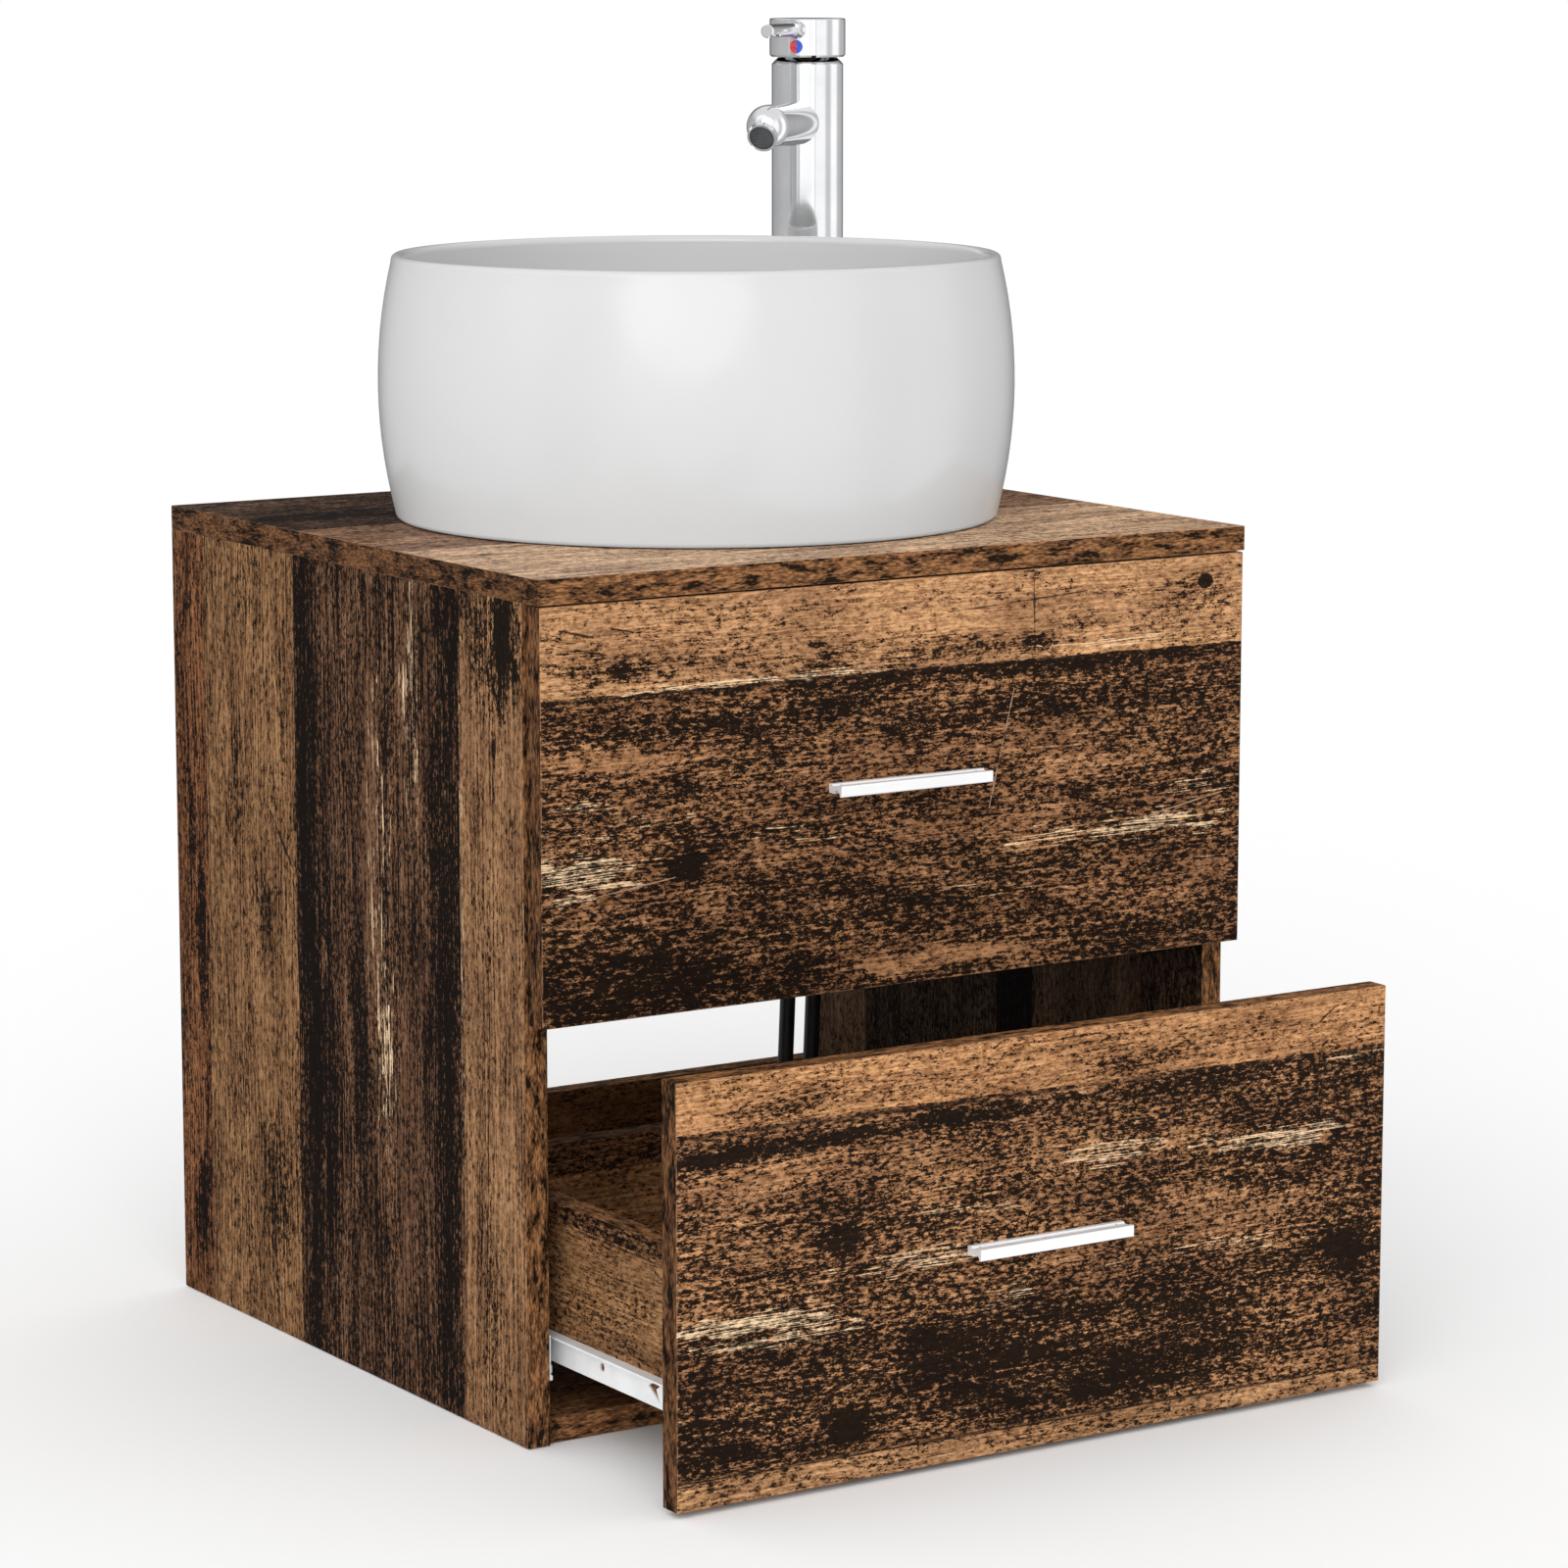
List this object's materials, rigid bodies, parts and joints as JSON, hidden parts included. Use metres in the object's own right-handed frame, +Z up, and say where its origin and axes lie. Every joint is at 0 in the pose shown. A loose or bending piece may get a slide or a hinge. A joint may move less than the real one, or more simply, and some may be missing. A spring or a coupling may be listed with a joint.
{
  "type": "vanity with vessel sink",
  "caption": "Small bathroom vanity with sliding drawers in old-plank decor, a round white vessel basin on top and a tall pin-lever mixer tap beside it.",
  "frame": {"origin": "middle of the cabinet footprint, on the underside of the bottom panel", "axes": "+Z up, -Y towards the drawer fronts, +X to the right seen from the front"},
  "size_m": [0.5, 0.6174, 0.81],
  "materials": {
    "decor_top": "printed old-plank decor on board, satin",
    "decor_board": "printed old-plank decor on board, satin",
    "decor_front": "printed old-plank decor on board, satin",
    "drawer_base": "thin laminated fibreboard, satin",
    "beech": "plain turned beech",
    "zinc_steel": "zinc plated",
    "runner_steel": "white epoxy coated steel",
    "roller_plastic": "white nylon",
    "handle_metal": "pale satin anodised",
    "white_ceramic": "white gloss glaze",
    "sealant": "white sealant",
    "chrome_brass": "polished chrome on brass",
    "plain_brass": "machined brass",
    "black_rubber": "black rubber",
    "cartridge_plastic": "grey moulded plastic",
    "aerator_plastic": "dark grey mesh",
    "mark_enamel": "red and blue enamel",
    "hose_rubber": "black braid over rubber"
  },
  "bodies": {
    "cabinet": {"countertop": "decor_top", "side_left": "decor_board", "side_right": "decor_board", "bottom_panel": "decor_board", "rear_rail_lower": "decor_board", "rear_rail_upper": "decor_board", "cabinet_fasteners": "zinc_steel", "wood_dowels": "beech", "hanging_brackets": "zinc_steel", "basin": "white_ceramic", "basin_seals": "sealant", "waste_body": "chrome_brass", "waste_washer": "black_rubber", "waste_nut": "plain_brass", "tap_body": "chrome_brass", "cartridge": "cartridge_plastic", "aerator_housing": "chrome_brass", "aerator_insert": "aerator_plastic", "tap_base_seal": "black_rubber", "tap_clamp_seal": "black_rubber", "tap_clamp_plate": "plain_brass", "tap_stud_and_nut": "plain_brass", "hose_hot": "hose_rubber", "hose_hot_end_ferrule": "zinc_steel", "hose_hot_nut": "plain_brass", "hose_cold": "hose_rubber", "hose_cold_end_ferrule": "zinc_steel", "hose_cold_nut": "plain_brass", "hose_top_ferrules": "zinc_steel", "lower_cabinet_runners": "runner_steel", "upper_cabinet_runners": "runner_steel"},
    "lower_drawer": {"lower_front": "decor_front", "lower_side_left": "decor_board", "lower_side_right": "decor_board", "lower_back": "decor_board", "lower_base": "drawer_base", "lower_handle": "handle_metal", "lower_fasteners": "zinc_steel", "lower_drawer_runners": "runner_steel"},
    "upper_drawer": {"upper_front": "decor_front", "upper_side_left": "decor_board", "upper_side_right": "decor_board", "upper_backs": "decor_board", "upper_cutout_walls": "decor_board", "upper_base": "drawer_base", "upper_handle": "handle_metal", "upper_fasteners": "zinc_steel", "upper_drawer_runners": "runner_steel"},
    "lower_front_roller_pair": {"lower_front_rollers": "roller_plastic"},
    "lower_rear_roller_pair": {"lower_rear_rollers": "roller_plastic"},
    "upper_front_roller_pair": {"upper_front_rollers": "roller_plastic"},
    "upper_rear_roller_pair": {"upper_rear_rollers": "roller_plastic"},
    "waste_plug": {"plug": "chrome_brass", "plug_seal": "black_rubber"},
    "tap_swivel": {"lever_carrier": "plain_brass"},
    "tap_lever": {"lever": "chrome_brass", "lever_cap": "chrome_brass", "temperature_mark": "mark_enamel", "lever_stem": "plain_brass"}
  },
  "joints": [
    {"name": "lower_drawer_slide", "type": "slide", "parent": "cabinet", "child": "lower_drawer", "axis": [0, -1, 0], "range_m": [-0.144, 0.081]},
    {"name": "upper_drawer_slide", "type": "slide", "parent": "cabinet", "child": "upper_drawer", "axis": [0, -1, 0], "range_m": [0, 0.225]},
    {"name": "lower_front_roller_spin", "type": "hinge", "parent": "cabinet", "child": "lower_front_roller_pair", "pos_m": [0, -0.187, 0.05125], "axis": [1, 0, 0], "continuous": true},
    {"name": "lower_rear_roller_spin", "type": "hinge", "parent": "lower_drawer", "child": "lower_rear_roller_pair", "pos_m": [0, -0.073, 0.04985], "axis": [1, 0, 0], "continuous": true},
    {"name": "upper_front_roller_spin", "type": "hinge", "parent": "cabinet", "child": "upper_front_roller_pair", "pos_m": [0, -0.187, 0.29855], "axis": [1, 0, 0], "continuous": true},
    {"name": "upper_rear_roller_spin", "type": "hinge", "parent": "upper_drawer", "child": "upper_rear_roller_pair", "pos_m": [0, 0.071, 0.29715], "axis": [1, 0, 0], "continuous": true},
    {"name": "plug_lift", "type": "slide", "parent": "cabinet", "child": "waste_plug", "axis": [0, 0, 1], "range_m": [0, 0.008]},
    {"name": "tap_temperature", "type": "hinge", "parent": "cabinet", "child": "tap_swivel", "pos_m": [0.1915, 0.17, 0.7605], "axis": [0, 0, 1], "range_deg": [-45, 45]},
    {"name": "tap_flow", "type": "hinge", "parent": "tap_swivel", "child": "tap_lever", "pos_m": [0.1915, 0.17, 0.7605], "axis": [-0.6361, 0.7716, 0], "range_deg": [0, 18]}
  ],
  "couplings": [
    {"joint": "lower_front_roller_spin", "follows": "lower_drawer_slide", "rad_per_m": 100},
    {"joint": "lower_rear_roller_spin", "follows": "lower_drawer_slide", "rad_per_m": 100},
    {"joint": "upper_front_roller_spin", "follows": "upper_drawer_slide", "rad_per_m": 100},
    {"joint": "upper_rear_roller_spin", "follows": "upper_drawer_slide", "rad_per_m": 100}
  ]
}
